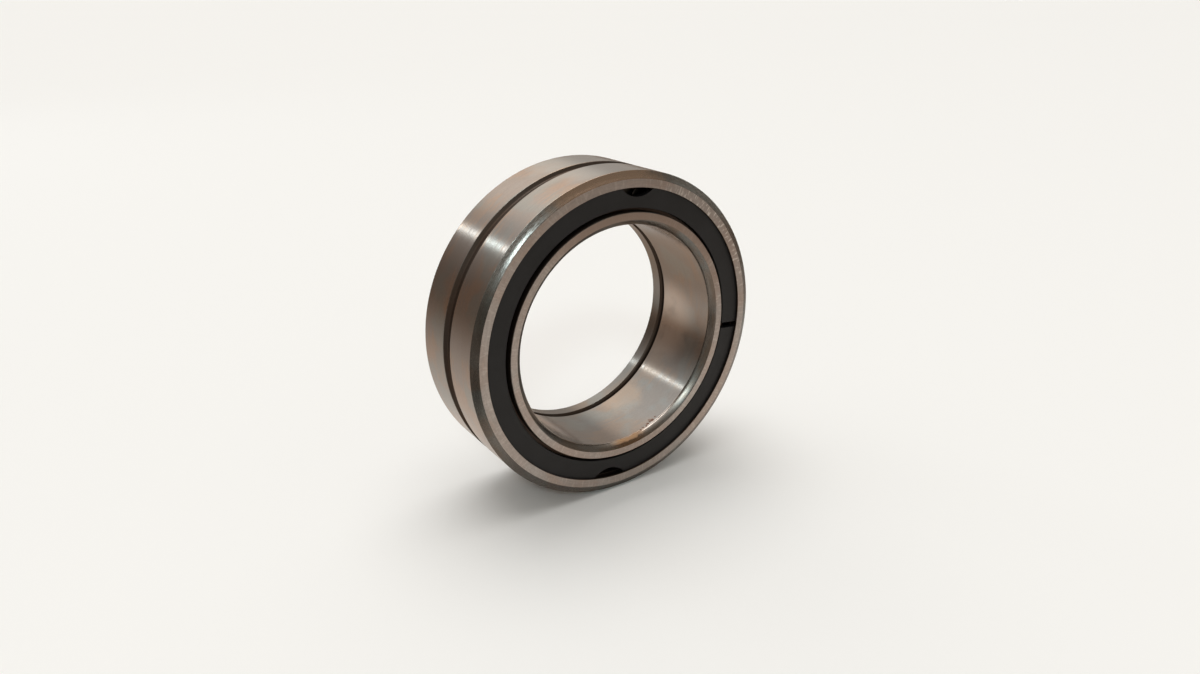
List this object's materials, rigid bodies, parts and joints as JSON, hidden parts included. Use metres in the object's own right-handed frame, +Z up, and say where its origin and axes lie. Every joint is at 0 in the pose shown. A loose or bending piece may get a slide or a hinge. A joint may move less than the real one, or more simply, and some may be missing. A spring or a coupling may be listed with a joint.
{
  "type": "cylindrical roller bearing",
  "caption": "Full-complement double-row cylindrical roller bearing with snap rings, a loose rib ring and an oil groove round the outer ring.",
  "frame": {"origin": "centre of the bore at mid-width", "axes": "+Y along the bearing's axis from the front face towards the back face, which has the loose rib ring; +Z up; the bearing stands on its rim"},
  "size_m": [0.08, 0.025, 0.08],
  "materials": {
    "outer_steel": "ground, satin",
    "inner_steel": "ground bore, satin faces",
    "rib_steel": "ground bore, satin faces",
    "snap_ring_black": "black oxide, matt",
    "roller_steel": "polished"
  },
  "bodies": {
    "outer_assembly": {"outer_ring": "outer_steel", "front_snap_ring": "snap_ring_black", "back_snap_ring": "snap_ring_black"},
    "inner_assembly": {"inner_ring": "inner_steel", "rear_rib_ring": "rib_steel"},
    "rollers_01": {"rollers_01": "roller_steel"},
    "rollers_02": {"rollers_02": "roller_steel"},
    "rollers_03": {"rollers_03": "roller_steel"},
    "rollers_04": {"rollers_04": "roller_steel"},
    "rollers_05": {"rollers_05": "roller_steel"},
    "rollers_06": {"rollers_06": "roller_steel"},
    "rollers_07": {"rollers_07": "roller_steel"},
    "rollers_08": {"rollers_08": "roller_steel"},
    "rollers_09": {"rollers_09": "roller_steel"},
    "rollers_10": {"rollers_10": "roller_steel"},
    "rollers_11": {"rollers_11": "roller_steel"},
    "rollers_12": {"rollers_12": "roller_steel"},
    "rollers_13": {"rollers_13": "roller_steel"},
    "rollers_14": {"rollers_14": "roller_steel"},
    "rollers_15": {"rollers_15": "roller_steel"},
    "rollers_16": {"rollers_16": "roller_steel"},
    "rollers_17": {"rollers_17": "roller_steel"},
    "rollers_18": {"rollers_18": "roller_steel"},
    "rollers_19": {"rollers_19": "roller_steel"},
    "rollers_20": {"rollers_20": "roller_steel"},
    "rollers_21": {"rollers_21": "roller_steel"},
    "rollers_22": {"rollers_22": "roller_steel"},
    "rollers_23": {"rollers_23": "roller_steel"},
    "rollers_24": {"rollers_24": "roller_steel"},
    "rollers_25": {"rollers_25": "roller_steel"},
    "rollers_26": {"rollers_26": "roller_steel"},
    "rollers_27": {"rollers_27": "roller_steel"},
    "rollers_28": {"rollers_28": "roller_steel"},
    "rollers_29": {"rollers_29": "roller_steel"},
    "rollers_30": {"rollers_30": "roller_steel"},
    "rollers_31": {"rollers_31": "roller_steel"},
    "rollers_32": {"rollers_32": "roller_steel"},
    "rollers_33": {"rollers_33": "roller_steel"},
    "rollers_34": {"rollers_34": "roller_steel"},
    "rollers_35": {"rollers_35": "roller_steel"},
    "rollers_36": {"rollers_36": "roller_steel"},
    "rollers_37": {"rollers_37": "roller_steel"},
    "rollers_38": {"rollers_38": "roller_steel"},
    "rollers_39": {"rollers_39": "roller_steel"},
    "rollers_40": {"rollers_40": "roller_steel"},
    "rollers_41": {"rollers_41": "roller_steel"},
    "rollers_42": {"rollers_42": "roller_steel"}
  },
  "joints": [
    {"name": "inner_spin", "type": "hinge", "parent": "outer_assembly", "child": "inner_assembly", "pos_m": [0, 0, 0], "axis": [0, 1, 0], "continuous": true},
    {"name": "roller_orbit", "type": "hinge", "parent": "outer_assembly", "child": "rollers_01", "pos_m": [0, 0, 0], "axis": [0, 1, 0], "continuous": true},
    {"name": "roller_spin_02", "type": "hinge", "parent": "rollers_01", "child": "rollers_02", "pos_m": [0.03332, 0, 0.00502], "axis": [0, 1, 0], "continuous": true},
    {"name": "roller_spin_03", "type": "hinge", "parent": "rollers_01", "child": "rollers_03", "pos_m": [0.0322, 0, 0.00993], "axis": [0, 1, 0], "continuous": true},
    {"name": "roller_spin_04", "type": "hinge", "parent": "rollers_01", "child": "rollers_04", "pos_m": [0.03036, 0, 0.01462], "axis": [0, 1, 0], "continuous": true},
    {"name": "roller_spin_05", "type": "hinge", "parent": "rollers_01", "child": "rollers_05", "pos_m": [0.02784, 0, 0.01898], "axis": [0, 1, 0], "continuous": true},
    {"name": "roller_spin_06", "type": "hinge", "parent": "rollers_01", "child": "rollers_06", "pos_m": [0.0247, 0, 0.02292], "axis": [0, 1, 0], "continuous": true},
    {"name": "roller_spin_07", "type": "hinge", "parent": "rollers_01", "child": "rollers_07", "pos_m": [0.02101, 0, 0.02635], "axis": [0, 1, 0], "continuous": true},
    {"name": "roller_spin_08", "type": "hinge", "parent": "rollers_01", "child": "rollers_08", "pos_m": [0.01685, 0, 0.02919], "axis": [0, 1, 0], "continuous": true},
    {"name": "roller_spin_09", "type": "hinge", "parent": "rollers_01", "child": "rollers_09", "pos_m": [0.01231, 0, 0.03137], "axis": [0, 1, 0], "continuous": true},
    {"name": "roller_spin_10", "type": "hinge", "parent": "rollers_01", "child": "rollers_10", "pos_m": [0.0075, 0, 0.03286], "axis": [0, 1, 0], "continuous": true},
    {"name": "roller_spin_11", "type": "hinge", "parent": "rollers_01", "child": "rollers_11", "pos_m": [0.00252, 0, 0.03361], "axis": [0, 1, 0], "continuous": true},
    {"name": "roller_spin_12", "type": "hinge", "parent": "rollers_01", "child": "rollers_12", "pos_m": [-0.00252, 0, 0.03361], "axis": [0, 1, 0], "continuous": true},
    {"name": "roller_spin_13", "type": "hinge", "parent": "rollers_01", "child": "rollers_13", "pos_m": [-0.0075, 0, 0.03286], "axis": [0, 1, 0], "continuous": true},
    {"name": "roller_spin_14", "type": "hinge", "parent": "rollers_01", "child": "rollers_14", "pos_m": [-0.01231, 0, 0.03137], "axis": [0, 1, 0], "continuous": true},
    {"name": "roller_spin_15", "type": "hinge", "parent": "rollers_01", "child": "rollers_15", "pos_m": [-0.01685, 0, 0.02919], "axis": [0, 1, 0], "continuous": true},
    {"name": "roller_spin_16", "type": "hinge", "parent": "rollers_01", "child": "rollers_16", "pos_m": [-0.02101, 0, 0.02635], "axis": [0, 1, 0], "continuous": true},
    {"name": "roller_spin_17", "type": "hinge", "parent": "rollers_01", "child": "rollers_17", "pos_m": [-0.0247, 0, 0.02292], "axis": [0, 1, 0], "continuous": true},
    {"name": "roller_spin_18", "type": "hinge", "parent": "rollers_01", "child": "rollers_18", "pos_m": [-0.02784, 0, 0.01898], "axis": [0, 1, 0], "continuous": true},
    {"name": "roller_spin_19", "type": "hinge", "parent": "rollers_01", "child": "rollers_19", "pos_m": [-0.03036, 0, 0.01462], "axis": [0, 1, 0], "continuous": true},
    {"name": "roller_spin_20", "type": "hinge", "parent": "rollers_01", "child": "rollers_20", "pos_m": [-0.0322, 0, 0.00993], "axis": [0, 1, 0], "continuous": true},
    {"name": "roller_spin_21", "type": "hinge", "parent": "rollers_01", "child": "rollers_21", "pos_m": [-0.03332, 0, 0.00502], "axis": [0, 1, 0], "continuous": true},
    {"name": "roller_spin_22", "type": "hinge", "parent": "rollers_01", "child": "rollers_22", "pos_m": [-0.0337, 0, 0], "axis": [0, 1, 0], "continuous": true},
    {"name": "roller_spin_23", "type": "hinge", "parent": "rollers_01", "child": "rollers_23", "pos_m": [-0.03332, 0, -0.00502], "axis": [0, 1, 0], "continuous": true},
    {"name": "roller_spin_24", "type": "hinge", "parent": "rollers_01", "child": "rollers_24", "pos_m": [-0.0322, 0, -0.00993], "axis": [0, 1, 0], "continuous": true},
    {"name": "roller_spin_25", "type": "hinge", "parent": "rollers_01", "child": "rollers_25", "pos_m": [-0.03036, 0, -0.01462], "axis": [0, 1, 0], "continuous": true},
    {"name": "roller_spin_26", "type": "hinge", "parent": "rollers_01", "child": "rollers_26", "pos_m": [-0.02784, 0, -0.01898], "axis": [0, 1, 0], "continuous": true},
    {"name": "roller_spin_27", "type": "hinge", "parent": "rollers_01", "child": "rollers_27", "pos_m": [-0.0247, 0, -0.02292], "axis": [0, 1, 0], "continuous": true},
    {"name": "roller_spin_28", "type": "hinge", "parent": "rollers_01", "child": "rollers_28", "pos_m": [-0.02101, 0, -0.02635], "axis": [0, 1, 0], "continuous": true},
    {"name": "roller_spin_29", "type": "hinge", "parent": "rollers_01", "child": "rollers_29", "pos_m": [-0.01685, 0, -0.02919], "axis": [0, 1, 0], "continuous": true},
    {"name": "roller_spin_30", "type": "hinge", "parent": "rollers_01", "child": "rollers_30", "pos_m": [-0.01231, 0, -0.03137], "axis": [0, 1, 0], "continuous": true},
    {"name": "roller_spin_31", "type": "hinge", "parent": "rollers_01", "child": "rollers_31", "pos_m": [-0.0075, 0, -0.03286], "axis": [0, 1, 0], "continuous": true},
    {"name": "roller_spin_32", "type": "hinge", "parent": "rollers_01", "child": "rollers_32", "pos_m": [-0.00252, 0, -0.03361], "axis": [0, 1, 0], "continuous": true},
    {"name": "roller_spin_33", "type": "hinge", "parent": "rollers_01", "child": "rollers_33", "pos_m": [0.00252, 0, -0.03361], "axis": [0, 1, 0], "continuous": true},
    {"name": "roller_spin_34", "type": "hinge", "parent": "rollers_01", "child": "rollers_34", "pos_m": [0.0075, 0, -0.03286], "axis": [0, 1, 0], "continuous": true},
    {"name": "roller_spin_35", "type": "hinge", "parent": "rollers_01", "child": "rollers_35", "pos_m": [0.01231, 0, -0.03137], "axis": [0, 1, 0], "continuous": true},
    {"name": "roller_spin_36", "type": "hinge", "parent": "rollers_01", "child": "rollers_36", "pos_m": [0.01685, 0, -0.02919], "axis": [0, 1, 0], "continuous": true},
    {"name": "roller_spin_37", "type": "hinge", "parent": "rollers_01", "child": "rollers_37", "pos_m": [0.02101, 0, -0.02635], "axis": [0, 1, 0], "continuous": true},
    {"name": "roller_spin_38", "type": "hinge", "parent": "rollers_01", "child": "rollers_38", "pos_m": [0.0247, 0, -0.02292], "axis": [0, 1, 0], "continuous": true},
    {"name": "roller_spin_39", "type": "hinge", "parent": "rollers_01", "child": "rollers_39", "pos_m": [0.02784, 0, -0.01898], "axis": [0, 1, 0], "continuous": true},
    {"name": "roller_spin_40", "type": "hinge", "parent": "rollers_01", "child": "rollers_40", "pos_m": [0.03036, 0, -0.01462], "axis": [0, 1, 0], "continuous": true},
    {"name": "roller_spin_41", "type": "hinge", "parent": "rollers_01", "child": "rollers_41", "pos_m": [0.0322, 0, -0.00993], "axis": [0, 1, 0], "continuous": true},
    {"name": "roller_spin_42", "type": "hinge", "parent": "rollers_01", "child": "rollers_42", "pos_m": [0.03332, 0, -0.00502], "axis": [0, 1, 0], "continuous": true}
  ],
  "couplings": [
    {"joint": "roller_orbit", "follows": "inner_spin", "ratio": 0.46291},
    {"joint": "roller_spin_02", "follows": "inner_spin", "ratio": -6.7029},
    {"joint": "roller_spin_03", "follows": "inner_spin", "ratio": -6.7029},
    {"joint": "roller_spin_04", "follows": "inner_spin", "ratio": -6.7029},
    {"joint": "roller_spin_05", "follows": "inner_spin", "ratio": -6.7029},
    {"joint": "roller_spin_06", "follows": "inner_spin", "ratio": -6.7029},
    {"joint": "roller_spin_07", "follows": "inner_spin", "ratio": -6.7029},
    {"joint": "roller_spin_08", "follows": "inner_spin", "ratio": -6.7029},
    {"joint": "roller_spin_09", "follows": "inner_spin", "ratio": -6.7029},
    {"joint": "roller_spin_10", "follows": "inner_spin", "ratio": -6.7029},
    {"joint": "roller_spin_11", "follows": "inner_spin", "ratio": -6.7029},
    {"joint": "roller_spin_12", "follows": "inner_spin", "ratio": -6.7029},
    {"joint": "roller_spin_13", "follows": "inner_spin", "ratio": -6.7029},
    {"joint": "roller_spin_14", "follows": "inner_spin", "ratio": -6.7029},
    {"joint": "roller_spin_15", "follows": "inner_spin", "ratio": -6.7029},
    {"joint": "roller_spin_16", "follows": "inner_spin", "ratio": -6.7029},
    {"joint": "roller_spin_17", "follows": "inner_spin", "ratio": -6.7029},
    {"joint": "roller_spin_18", "follows": "inner_spin", "ratio": -6.7029},
    {"joint": "roller_spin_19", "follows": "inner_spin", "ratio": -6.7029},
    {"joint": "roller_spin_20", "follows": "inner_spin", "ratio": -6.7029},
    {"joint": "roller_spin_21", "follows": "inner_spin", "ratio": -6.7029},
    {"joint": "roller_spin_22", "follows": "inner_spin", "ratio": -6.7029},
    {"joint": "roller_spin_23", "follows": "inner_spin", "ratio": -6.7029},
    {"joint": "roller_spin_24", "follows": "inner_spin", "ratio": -6.7029},
    {"joint": "roller_spin_25", "follows": "inner_spin", "ratio": -6.7029},
    {"joint": "roller_spin_26", "follows": "inner_spin", "ratio": -6.7029},
    {"joint": "roller_spin_27", "follows": "inner_spin", "ratio": -6.7029},
    {"joint": "roller_spin_28", "follows": "inner_spin", "ratio": -6.7029},
    {"joint": "roller_spin_29", "follows": "inner_spin", "ratio": -6.7029},
    {"joint": "roller_spin_30", "follows": "inner_spin", "ratio": -6.7029},
    {"joint": "roller_spin_31", "follows": "inner_spin", "ratio": -6.7029},
    {"joint": "roller_spin_32", "follows": "inner_spin", "ratio": -6.7029},
    {"joint": "roller_spin_33", "follows": "inner_spin", "ratio": -6.7029},
    {"joint": "roller_spin_34", "follows": "inner_spin", "ratio": -6.7029},
    {"joint": "roller_spin_35", "follows": "inner_spin", "ratio": -6.7029},
    {"joint": "roller_spin_36", "follows": "inner_spin", "ratio": -6.7029},
    {"joint": "roller_spin_37", "follows": "inner_spin", "ratio": -6.7029},
    {"joint": "roller_spin_38", "follows": "inner_spin", "ratio": -6.7029},
    {"joint": "roller_spin_39", "follows": "inner_spin", "ratio": -6.7029},
    {"joint": "roller_spin_40", "follows": "inner_spin", "ratio": -6.7029},
    {"joint": "roller_spin_41", "follows": "inner_spin", "ratio": -6.7029},
    {"joint": "roller_spin_42", "follows": "inner_spin", "ratio": -6.7029}
  ]
}
